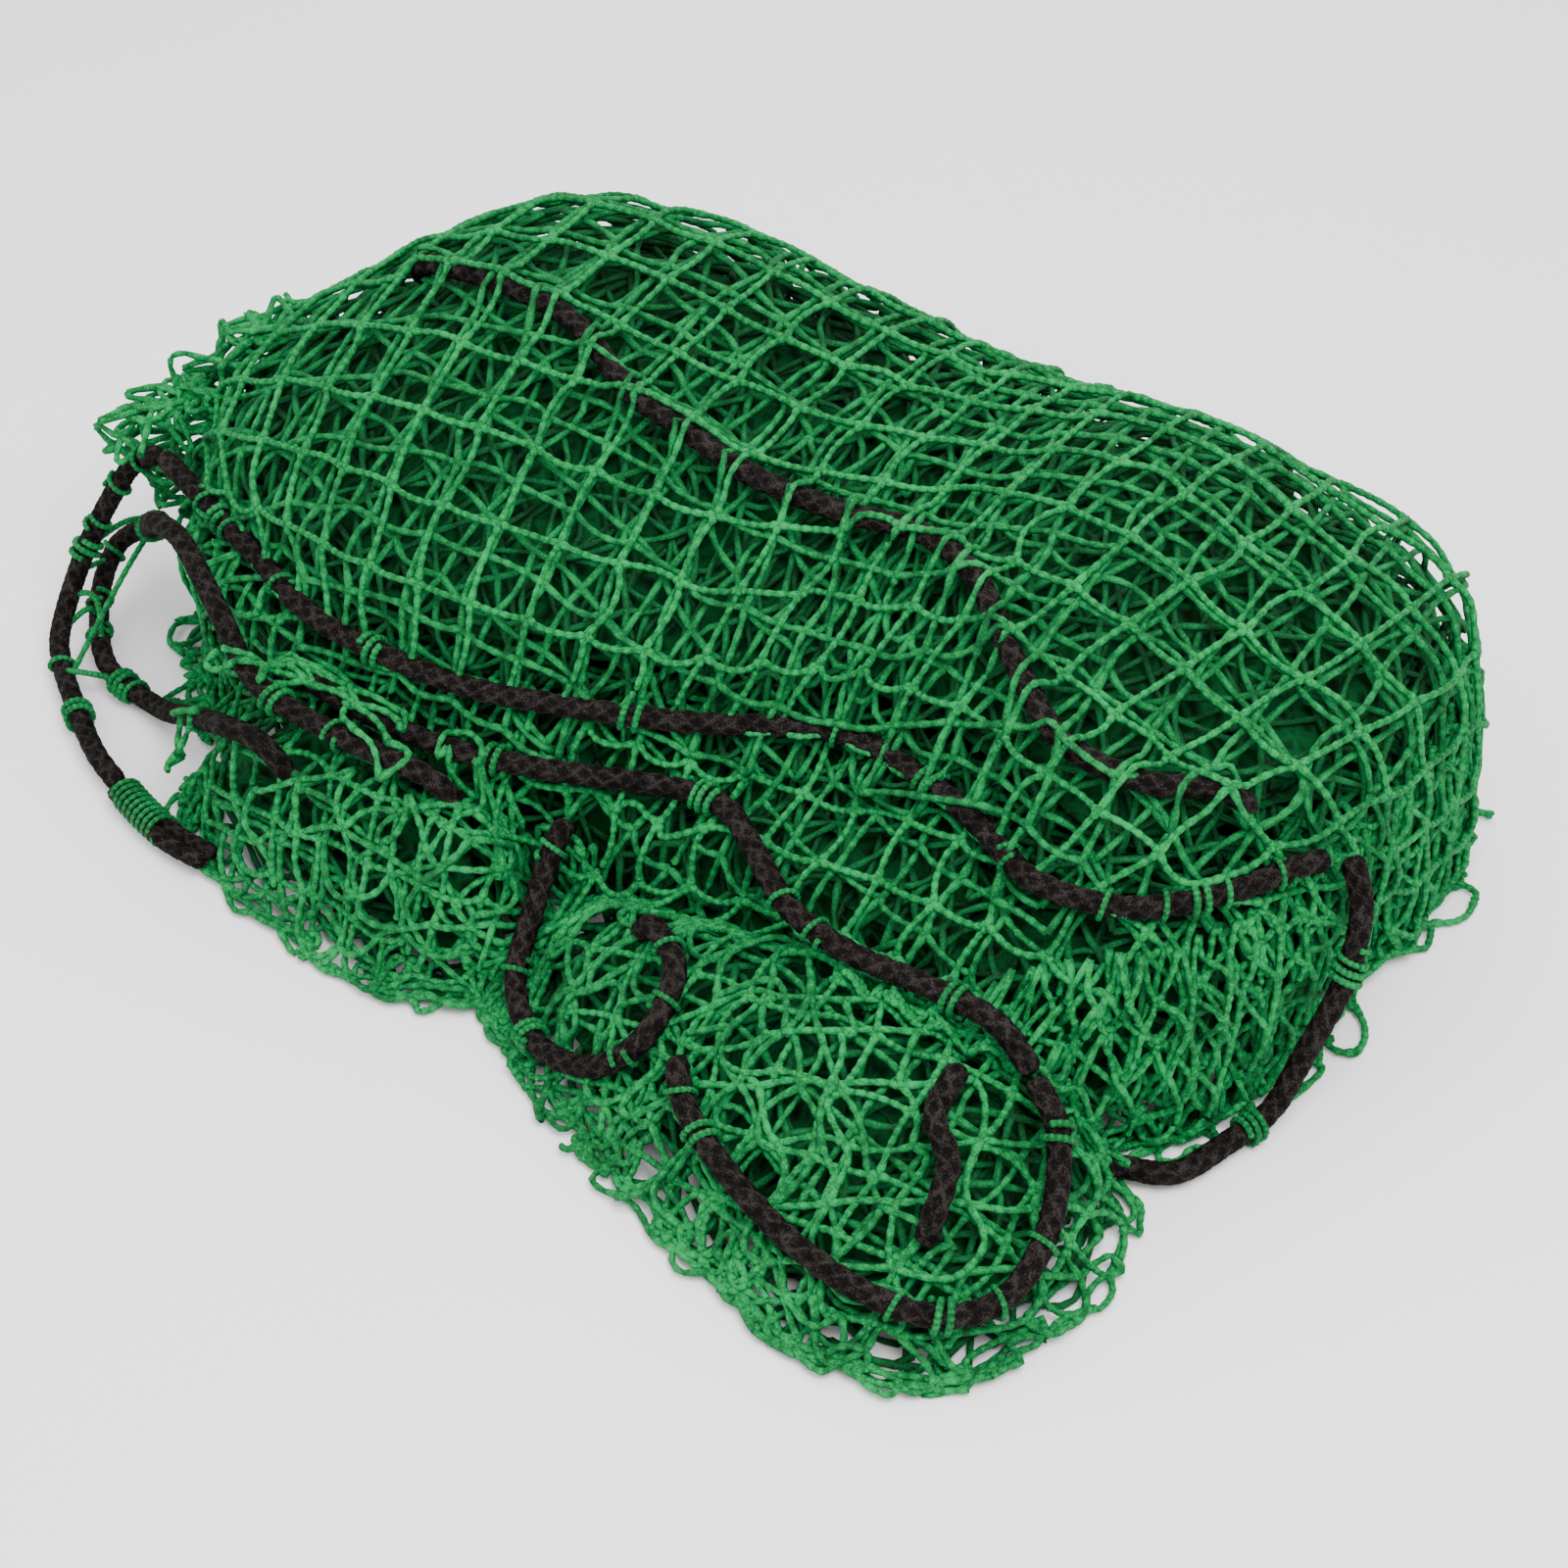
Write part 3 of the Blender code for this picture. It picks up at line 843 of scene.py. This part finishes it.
def loop_twines(inner, outer):
    """The few twines of the net that cross the open loops of rope at the left, each from a share
    of the inner loop's length to one of the outer's, bowed by a height."""
    groups = []
    for start, end, bow in ((0.50, 0.34, 0.006), (0.57, 0.45, -0.008), (0.63, 0.52, 0.007),
                            (0.70, 0.62, -0.006), (0.47, 0.66, 0.010), (0.66, 0.44, 0.009)):
        a, b = inner[int(start * len(inner))], outer[int(end * len(outer))]
        share = np.linspace(0, 1, 9)[:, None]
        line = a + (b - a) * share
        line[:, 1] += bow * np.sin(math.pi * share[:, 0])
        line[:, 2] += abs(bow) * np.sin(math.pi * share[:, 0])
        groups.append(twine_group(finer(line[None], 2)[0], TWINE_RADIUS))
    return groups


def add_splice(rope_material, twine_material):
    """Where the two ends of the border rope lie side by side, bound together with twine."""
    apart, thin, margin = 0.0036, 0.0082, 0.005
    bound = smooth_route(SPLICE, ROPE_STEP)
    line = smooth_route(SPLICE + (SPLICE_TAIL,), ROPE_STEP)
    across = steady_frames(line)[1]
    body = tubes_mesh("rope_splice", [braid(line + across * side * apart, thin)
                                      for side in (-1, 1)])
    body.data.materials.append(rope_material)
    binding = helix_round(bound, margin, route_length(bound) - 2 * margin, turns=9,
                          radius=0.0070, steps=14)
    twine = tubes_mesh("rope_splice_binding", [twine_group(binding, LACING_RADIUS)])
    twine.data.materials.append(twine_material)
    twine.parent = body
    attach(body, "pile")
    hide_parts("border_rope_splice")


def twine_group(line, radius):
    """Rings, shown lengths and relief of a single twine."""
    points = finer(line[None], 2)
    stitch = radius * (1 + 0.1 * np.where(np.arange(points.shape[1]) % 2, 1, -1))
    rings = tube_rings(points, stitch[None], 6)
    relief = np.where(np.arange(points.shape[1]) % 2, 1.0, 0.0)[None, :, None]
    return rings, np.ones((1, points.shape[1] - 1), bool), relief


# ---- dark inside, in painted shade

CORE_INSET = 0.016
CORE_VOXEL = 0.006


def add_core(name, body, nodes, material):
    """What is too deep to make out: the folds' own shape, drawn in behind the plies, a dark solid of
    painted shade.
    """
    points, faces = [], []
    for node in nodes:
        mesh = frame["nodes"][node].data
        first = len(points)
        points += [v.co.copy() for v in mesh.vertices]
        faces += [tuple(first + i for i in p.vertices) for p in mesh.polygons]
    mesh = bpy.data.meshes.new(name)
    mesh.from_pydata(points, [], faces)
    made = add_object(name, mesh)
    whole = made.modifiers.new("one_skin", "REMESH")
    whole.mode = "VOXEL"
    whole.voxel_size = CORE_VOXEL
    inward = made.modifiers.new("drawn_in", "DISPLACE")
    inward.strength = -CORE_INSET
    inward.mid_level = 0
    smooth = made.modifiers.new("soft", "SMOOTH")
    smooth.iterations = 8
    bpy.context.view_layer.update()
    shaped = made.evaluated_get(bpy.context.evaluated_depsgraph_get())
    solid = bpy.data.meshes.new_from_object(shaped)
    made.modifiers.clear()
    made.data = solid
    solid.shade_smooth()
    solid.materials.clear()
    solid.materials.append(material)
    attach(made, body)
    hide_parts(*nodes)


# ---- plies

BACK_FROM = 0.195       # y behind which a ply goes down the back of the heap
BACK_HALF = 0.032       # half the height of the strip that bends at the fold line
ROPE_MARGIN = 0.004     # how far a top ply goes on in front of its edge rope's line


def front_edge(x):
    """How far forward the top fold reaches at x: the plan of its edge rope."""
    route = np.array(ROPES["border_rope_top_edge"])
    return np.interp(x, route[:, 0], route[:, 1])


def flat_net(middle, size, turn, fullness, height):
    """Knots of a level square net. With fullness over 1 it holds more net than its plan size."""
    columns, rows = (max(2, round(side * fullness / CELL)) for side in size)
    spacing = CELL / fullness
    x = (np.arange(columns + 1) - columns / 2) * spacing
    y = (np.arange(rows + 1) - rows / 2) * spacing
    x, y = np.meshgrid(x, y)
    a = math.radians(turn)
    return np.stack([middle[0] + x * math.cos(a) - y * math.sin(a),
                     middle[1] + x * math.sin(a) + y * math.cos(a),
                     np.full_like(x, height)], axis=-1)


def wall_net(path, top, opening):
    """A net hung on its corners down a wall, gathered into narrow diamonds. Its knots' places
    are along the path, out from it and down from top."""
    line = smooth_route(path, ROUTE_STEP)
    length = route_length(line)
    wide, tall = CELL * math.sin(opening), CELL * math.cos(opening)
    across, down = round(length / wide), math.ceil(top / tall) + 2
    size = across + down
    i, j = np.meshgrid(np.arange(size), np.arange(size), indexing="ij")
    along = (i - j) * wide + length / 2
    deep = (i + j - size) * tall + top / 2
    share = np.clip(along / length, 0, 1) * (len(line) - 1)
    knots = np.empty((size, size, 3))
    for k in (0, 1):
        knots[..., k] = np.interp(share, np.arange(len(line)), line[:, k])
    knots[..., 2] = top - deep
    wanted = (along > 0) & (along < length) & (deep > -tall) & (deep < top + tall)
    return knots, wanted


def hang(knots, field, offset, seed):
    """Brings a wall net's twines onto the wall, with small upright folds."""
    folds = 0.0035
    random = np.random.default_rng(seed)
    wave = random.uniform(260, 340)
    made = []
    for lines in both_ways(knots):
        lines += random.normal(0, 0.0012, lines.shape)
        smooth_bends(lines, 0.4)
        for _ in range(6):
            distance, outward = field.at(lines)
            fold = folds * np.sin(wave * (lines[..., 0] + 0.6 * lines[..., 1]))
            lines -= 0.8 * outward * (distance - offset - fold)[..., None]
        lines[..., 2] = np.maximum(lines[..., 2], TWINE_RADIUS)
        tuck(lines, offset + fold)
        made.append(lines)
    weld(*made)
    return made


def border_path():
    """The rope's whole run round the top fold's front: up the left edge, across, down the right."""
    left = smooth_route(ROPES["border_rope_left_edge"], 0.005)[::-1]
    across = smooth_route(ROPES["border_rope_top_edge"], 0.005)
    right = smooth_route(ROPES["border_rope_right_side"], 0.005)
    return np.concatenate([left, across, right])


def laced_net(rows):
    """Knots of the top ply, with its front row's places on the border rope."""
    path = smooth_route(border_path()[::3], CELL * SLACK)
    columns = len(path)
    middle = np.abs(path[:, 0]).argmin()
    x = path[middle, 0] + (np.arange(columns) - middle) * CELL * SLACK
    knots = np.empty((rows + 1, columns, 3))
    knots[:, :, 0] = x
    knots[:, :, 1] = front_edge(x) + np.arange(rows + 1)[:, None] * CELL
    knots[:, :, 2] = CAD_BOX[1][2] + 0.012
    targets = knots.copy()
    targets[0] = path
    pins = np.zeros(knots.shape[:2], bool)
    pins[0] = True
    return knots, pins, targets


def behind_rope(points):
    """What lies behind the top fold's edge rope, in plan."""
    return points[..., 1] > front_edge(points[..., 0]) - ROPE_MARGIN


def on_top(points):
    return (points[..., 2] > INTERFACE) & behind_rope(points)


def at_back(points):
    return (points[..., 1] > BACK_FROM) & (np.abs(points[..., 2] - INTERFACE) < BACK_HALF)


def beside_top(points):
    ends = (points[..., 0] < -0.255) | (points[..., 0] > 0.285) | (points[..., 1] > 0.19)
    return (points[..., 2] <= INTERFACE) & behind_rope(points) & ends


def in_sight(points):
    """Leaves out what lies buried between the pile and the top fold."""
    buried = (points[..., 1] > front_edge(points[..., 0]) + 0.05) & (points[..., 2] > 0.080)
    inside = (np.abs(points[..., 0]) < 0.25) & (points[..., 1] < 0.19)
    return ~(buried & inside)


def add_top_plies(number, rows, columns, heap, reach, detail, sides, material):
    """One ply that lies over the top fold and hangs down its back and ends."""
    made = add_plies(rows, columns, [
        (f"back_ply_{number}", None, "folded", at_back),
        (f"top_ply_{number}", "top_fold", "folded", on_top),
        (f"end_ply_{number}", "pile", "folded",
         lambda p: beside_top(p) & (heap.beyond(p) < reach)),
    ], detail, sides, material, 10 * number)
    back = made.get(f"back_ply_{number}")
    if back:
        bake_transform(back)


def level_gap(points, line):
    """Level distance from each point to a line."""
    flat = points[..., :2].reshape(-1, 2)
    return nearest_gap(flat, line[:, :2]).reshape(points.shape[:-1])


def puff(middle, radii, shape, seed):
    """A loose end of net that stands up by itself, as the skin of an uneven round shape."""
    uneven, bow = 0.004, 0.010
    random = np.random.default_rng(seed)
    up, round_it = np.meshgrid(np.radians(np.linspace(-60, 80, shape[0])),
                               np.linspace(0, 2 * math.pi, shape[1]), indexing="ij")
    knots = np.stack([np.cos(up) * np.cos(round_it), np.cos(up) * np.sin(round_it), np.sin(up)],
                     axis=-1) * radii + middle
    knots += random.normal(0, uneven, knots.shape)
    made = both_ways(knots)
    bows = [set_bends(lines.shape, bow, random) for lines in made]
    for _ in range(14):
        for lines, set_in in zip(made, bows):
            smooth_bends(lines, 0.5, set_in)
        weld(*made)
    return made


# Plies: number, turn, height over the folds, detail, sides of their tubes, fullness and tone, which
# is dimmer on deeper plies as painted shade
INNER_TOPS = (
    (2, 4, 0.0045, 2, 6, 1.15, "second"), (3, -14, 0.001, 1, 5, 1.3, "second"),
    (4, 38, -0.003, 1, 5, 1.35, "third"), (5, 14, -0.007, 1, 4, 1.35, "third"),
    (6, -33, -0.010, 1, 4, 1.35, "deep"), (7, 55, -0.013, 1, 4, 1.35, "deep"))
# The same, and how far outside the pile's plan they go
PILE_PLIES = (
    (1, 3, 0.003, 3, 6, 1.16, "first", 0.010), (2, -12, 0.000, 2, 6, 1.2, "second", 0.003),
    (3, 30, -0.004, 1, 5, 1.3, "third", -0.006), (4, -40, -0.008, 1, 5, 1.3, "third", -0.012),
    (5, 12, -0.012, 1, 4, 1.3, "deep", -0.018), (6, -20, -0.015, 1, 4, 1.3, "deep", -0.024))
# Walls: height and plan. Their layers: opening of the diamonds, and height over the folds
WALLS = (
    ("right_wall_ply", 0.098, ((0.150, -0.112), (0.215, -0.112), (0.262, -0.092),
                               (0.300, -0.055), (0.325, 0.000), (0.330, 0.050))),
    ("right_end_ply", 0.098, ((0.326, 0.030), (0.330, 0.080), (0.328, 0.140), (0.300, 0.200),
                              (0.240, 0.225))))
WALL_LAYERS = ((0.36, 0.0055), (0.30, 0.001))
# Loose bunches: middle, size, turn, fullness, whether they lift over the ropes, and tone, which is
# dimmer for the deeper bunches as painted shade
BUNCHES = (
    ("left_lobe_curls", (-0.085, -0.125), (0.26, 0.11), 25, 2.0, False, "first"),
    ("left_lobe_curls_deep", (-0.09, -0.12), (0.28, 0.12), -20, 1.8, False, "second"),
    ("left_side_curls", (-0.225, -0.060), (0.16, 0.13), 10, 1.8, False, "first"),
    ("front_lobe_curls", (0.150, -0.160), (0.22, 0.10), 15, 1.9, False, "first"),
    ("front_lobe_curls_deep", (0.12, -0.15), (0.28, 0.12), -30, 1.7, False, "second"),
    ("middle_curls", (-0.08, -0.100), (0.30, 0.09), 5, 1.4, True, "first"))
BUNCH_REACH = 0.012     # how far outside the pile's plan a bunch goes
BARE_BY_ROPE = 0.013    # nearest that most of a bunch's cells come to a rope, in plan
LEFT_BY_ROPE = 0.2      # share of the nearer cells that stay
# Ends that stand up: middle, radii, and knots up and round
PUFFS = (
    ("left_end_curls_1", (-0.292, 0.012, 0.090), (0.024, 0.036, 0.026), (6, 10)),
    ("left_end_curls_2", (-0.268, 0.050, 0.110), (0.024, 0.046, 0.028), (6, 11)))


def add_heap_top(heap, steps, twines):
    """The ply that is laced to the border rope, and those that show through it."""
    covered_rope = smooth_route(ROPES["border_rope_under_top_ply"], ROUTE_STEP)
    knots, pins, targets = laced_net(23)
    rows, columns = drape(knots, heap, 0.0075, steps, 1, pins, targets, over=covered_rope)
    add_top_plies(1, rows, columns, heap, 0.008, 3, 6, twines["first"])
    for number, turn, offset, detail, sides, fullness, tone in INNER_TOPS:
        knots = flat_net((0.0, 0.07), (0.84, 0.62), turn, fullness, CAD_BOX[1][2] + 0.01)
        rows, columns = drape(knots, heap, offset, steps, number, bow=0.013,
                              over=covered_rope if number == 2 else None)
        add_top_plies(number, rows, columns, heap, 0.004 - 0.003 * number, detail, sides,
                      twines[tone])


def add_underside(top, twines):
    """The flat ply under the top fold, which shows when it opens."""
    knots = flat_net((0.0, 0.07), (0.66, 0.42), 6, 1.03, INTERFACE + 0.0028)
    knots = wander(knots, 0.002, np.random.default_rng(77))
    add_plies(*both_ways(knots), [("top_fold_under_ply", "top_fold", "folded",
                                   lambda p: top.beyond(p) < -0.014)], 1, 5, twines["first"], 90)


def add_pile_plies(pile, steps, twines):
    for number, turn, offset, detail, sides, fullness, tone, reach in PILE_PLIES:
        knots = flat_net((0.0, 0.0), (0.86, 0.66), turn, fullness, 0.13)
        rows, columns = drape(knots, pile, offset, steps, 40 + number, bow=0.011)
        seen = in_sight if number > 1 else lambda p: True
        add_plies(rows, columns, [(f"pile_ply_{number}", "pile", "gathered",
                                   lambda p: (pile.beyond(p) < reach) & seen(p))],
                  detail, sides, twines[tone], 50 + number)


def add_walls(pile, twines):
    for number, (name, height, path) in enumerate(WALLS):
        for layer, (opening, offset) in enumerate(WALL_LAYERS):
            knots, wanted = wall_net([(*p, 0.0) for p in path], height, opening)
            rows, columns = hang(knots, pile, offset, 60 + 10 * number + layer)
            whole = wanted[1:, 1:] & wanted[:-1, :-1] & wanted[1:, :-1] & wanted[:-1, 1:]
            add_plies(rows, columns, [(f"{name}_{layer + 1}", "pile", "gathered",
                                       lambda p: whole)], 2, 5, twines["first"], 64 + layer)


def add_curls(pile, steps, twines):
    """The loose bunches, which mostly leave the ropes that cross them bare, and the puffs."""
    crossed = np.concatenate([smooth_route(ROPES["border_rope_" + name], ROUTE_STEP)
                              for name in ("front_run", "left_loop", "left_edge")])
    for number, (name, middle, size, turn, fullness, lifted, tone) in enumerate(BUNCHES):
        knots = flat_net(middle, size, turn, fullness, 0.125)
        rows, columns = drape(knots, pile, 0.004, steps, 80 + number, rough=0.009, bend=0.10,
                              sway=0.004, over=crossed if lifted else None, bow=0.014)
        chance = np.random.default_rng(90 + number).random

        def wanted(p):
            clear = level_gap(p, crossed) > BARE_BY_ROPE
            return (pile.beyond(p) < BUNCH_REACH) & (clear | (chance(p.shape[:2]) < LEFT_BY_ROPE))

        add_plies(rows, columns, [(name, "pile", "gathered", wanted)], 2, 6, twines[tone],
                  70 + number)
    for number, (name, middle, radii, shape) in enumerate(PUFFS):
        rows, columns = puff(middle, radii, shape, 95 + number)
        add_plies(rows, columns, [(name, "top_fold", "gathered", lambda p: p[..., 2] > 0.070)],
                  2, 6, twines["first"], 95 + number)


def build():
    steps = STEPS
    # Dimmer copies of the twine for the deeper plies: painted shade.
    twines = {"first": green_twine("net_twine", 1.0),
              "second": green_twine("net_twine_painted_shade_second", 0.80),
              "third": green_twine("net_twine_painted_shade_third", 0.56),
              "deep": green_twine("net_twine_painted_shade_deep", 0.36)}
    rope = fibre_material("border_rope", *BLACKS, tone_size=0.006, fibre_size=0.0008, bump=0.8,
                          gloss=0.05)
    lacing = green_twine("lacing_twine", 0.8)
    inside = deep_net_shade_material("inner_plies_painted_shade")
    heap = Field(TOP_FOLDS + PILE_FOLDS)
    pile = Field(PILE_FOLDS)
    top = Field(TOP_FOLDS, solid=False)
    add_heap_top(heap, steps, twines)
    add_underside(top, twines)
    add_pile_plies(pile, steps, twines)
    add_walls(pile, twines)
    add_curls(pile, steps, twines)
    add_lacing(add_ropes(rope), lacing)
    add_splice(rope, lacing)
    add_core("top_core", "top_fold", TOP_FOLDS, inside)
    add_core("pile_core", "pile", PILE_FOLDS, inside)


# The plan of the lower layers, which tuck reads
FOOT = Field(["net_layer_1_bottom", "net_layer_2", "left_lobe", "front_lobe"], solid=False)
add_camera()
build()
add_studio()
